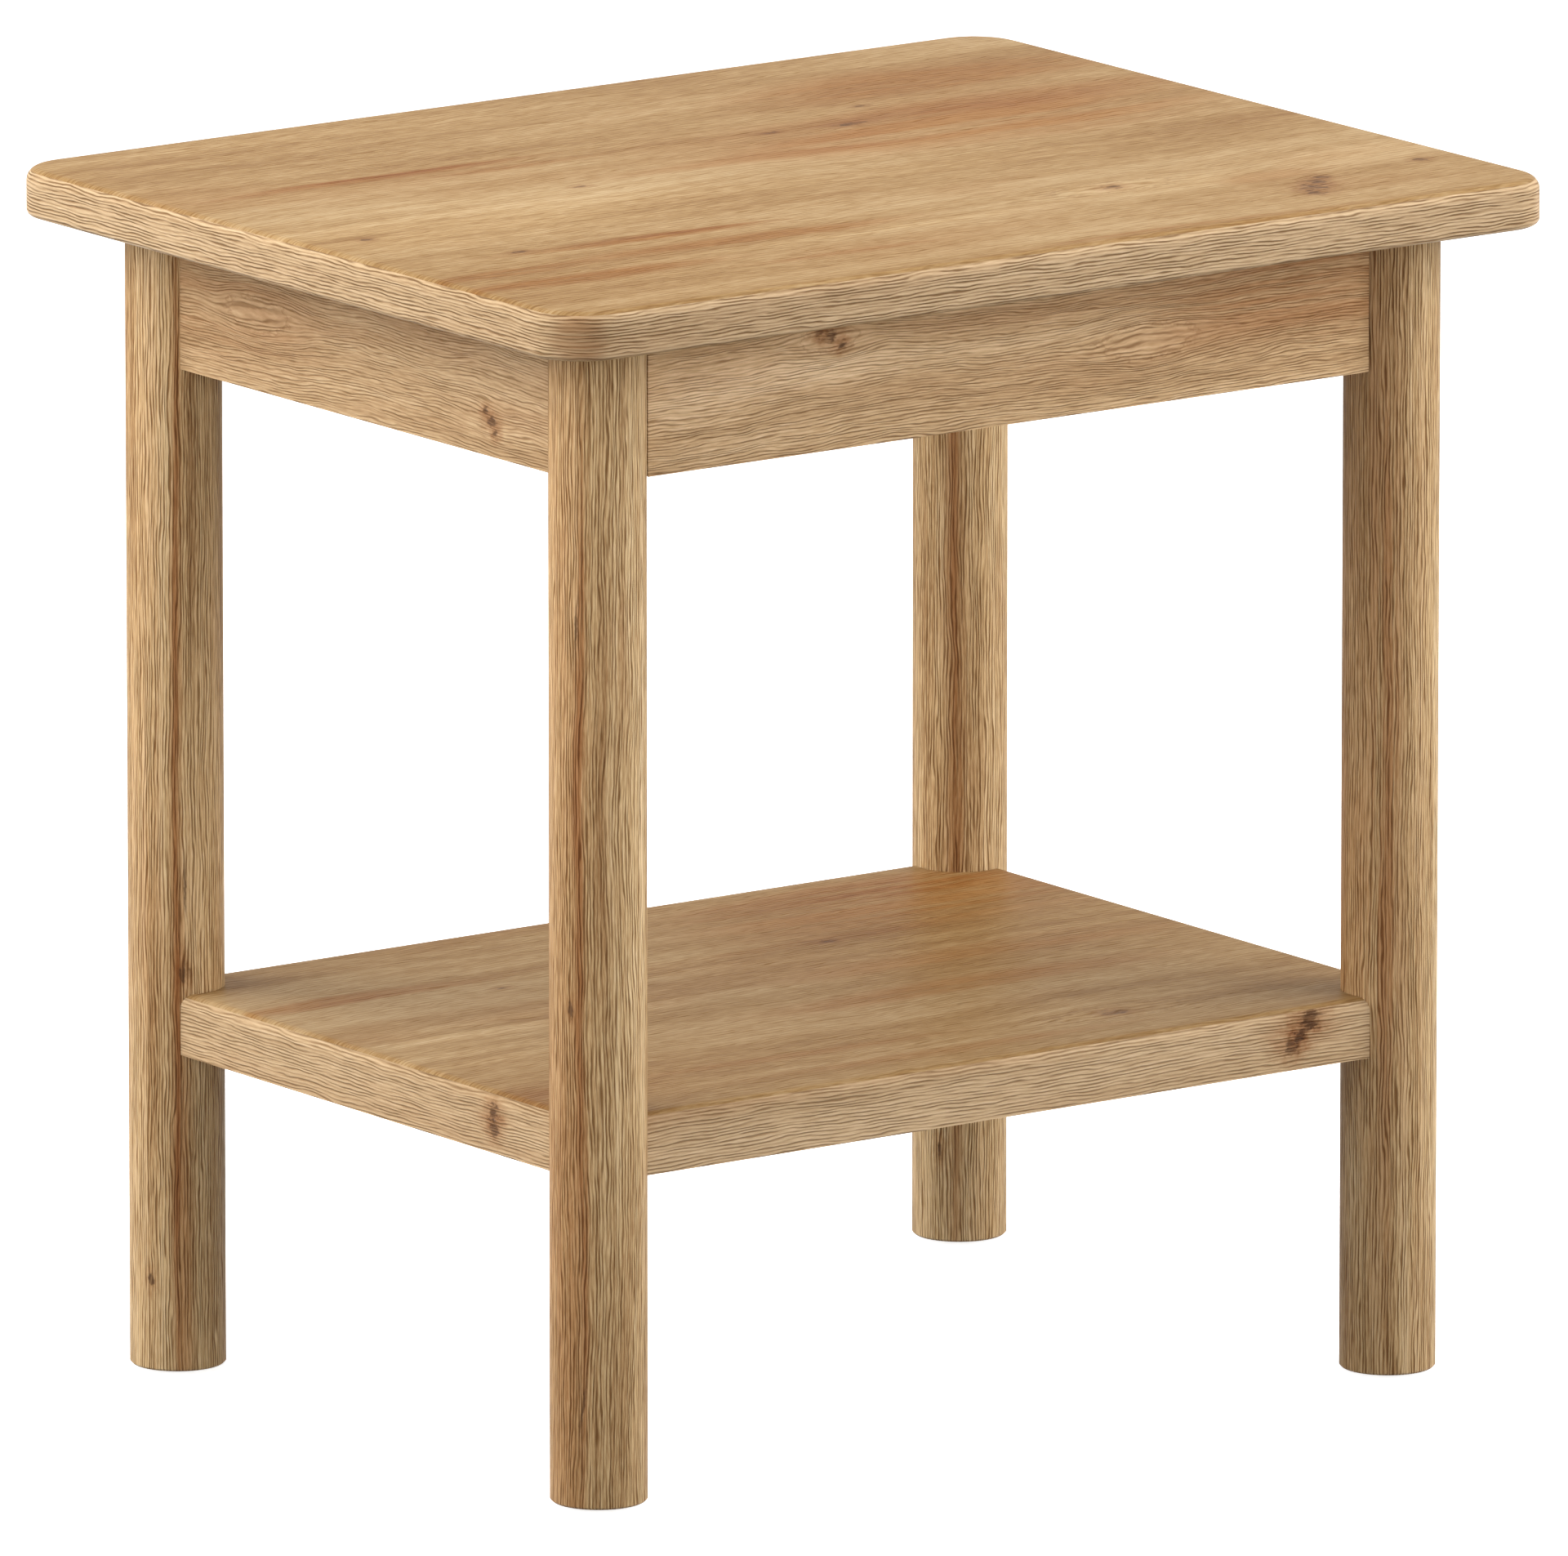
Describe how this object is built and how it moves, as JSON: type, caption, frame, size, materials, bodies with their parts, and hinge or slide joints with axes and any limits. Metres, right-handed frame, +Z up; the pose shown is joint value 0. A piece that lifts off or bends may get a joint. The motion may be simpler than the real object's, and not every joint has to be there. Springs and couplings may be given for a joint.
{
  "type": "side table with drawer",
  "caption": "Oak-look side table with round legs, a rounded rectangular top, a lower shelf and a shallow handle-less drawer between the front legs.",
  "frame": {"origin": "on the floor, under the middle of the tabletop", "axes": "+Z up; +X along the tabletop's long side, to the right seen from the drawer; -Y towards the drawer's user"},
  "size_m": [0.552, 0.44, 0.556],
  "materials": {
    "oak_decor": "matte embossed oak decor",
    "pale_board": "matte light oak decor inside",
    "zinc_steel": "bright zinc plated",
    "bright_steel": "polished",
    "beech_dowel": "raw beech",
    "glide_plastic": "matte"
  },
  "bodies": {
    "frame": {"tabletop": "oak_decor", "leg_front_left": "oak_decor", "leg_front_right": "oak_decor", "leg_rear_left": "oak_decor", "leg_rear_right": "oak_decor", "side_apron_left": "oak_decor", "side_apron_right": "oak_decor", "rear_apron": "oak_decor", "front_top_rail": "pale_board", "lower_shelf": "oak_decor", "runner_spacer_left": "pale_board", "runner_spacer_right": "pale_board", "slide_cabinet_left": "zinc_steel", "slide_cabinet_right": "zinc_steel", "foot_glides": "glide_plastic", "apron_dowels": "beech_dowel", "apron_cam_bolts": "zinc_steel", "apron_cams": "zinc_steel", "rail_dowels": "beech_dowel", "rail_screws": "zinc_steel", "shelf_cam_bolts": "zinc_steel", "shelf_cams": "zinc_steel", "top_brackets": "zinc_steel", "bracket_screws": "zinc_steel", "spacer_screws": "zinc_steel", "slide_cabinet_screws": "zinc_steel"},
    "drawer": {"drawer_front": "oak_decor", "drawer_side_left": "pale_board", "drawer_side_right": "pale_board", "drawer_back": "pale_board", "drawer_bottom": "pale_board", "slide_drawer_left": "zinc_steel", "slide_drawer_right": "zinc_steel", "slide_drawer_screws": "zinc_steel", "drawer_dowels": "beech_dowel", "drawer_back_screws": "zinc_steel"},
    "cage_left": {"ball_cage_left": "bright_steel", "slide_balls_left": "bright_steel"},
    "cage_right": {"ball_cage_right": "bright_steel", "slide_balls_right": "bright_steel"}
  },
  "joints": [
    {"name": "drawer_slide", "type": "slide", "parent": "frame", "child": "drawer", "axis": [0, -1, 0], "range_m": [0, 0.182]},
    {"name": "cage_left_slide", "type": "slide", "parent": "frame", "child": "cage_left", "axis": [0, -1, 0], "range_m": [0, 0.091]},
    {"name": "cage_right_slide", "type": "slide", "parent": "frame", "child": "cage_right", "axis": [0, -1, 0], "range_m": [0, 0.091]}
  ],
  "couplings": [
    {"joint": "cage_left_slide", "follows": "drawer_slide", "ratio": 0.5},
    {"joint": "cage_right_slide", "follows": "drawer_slide", "ratio": 0.5}
  ]
}
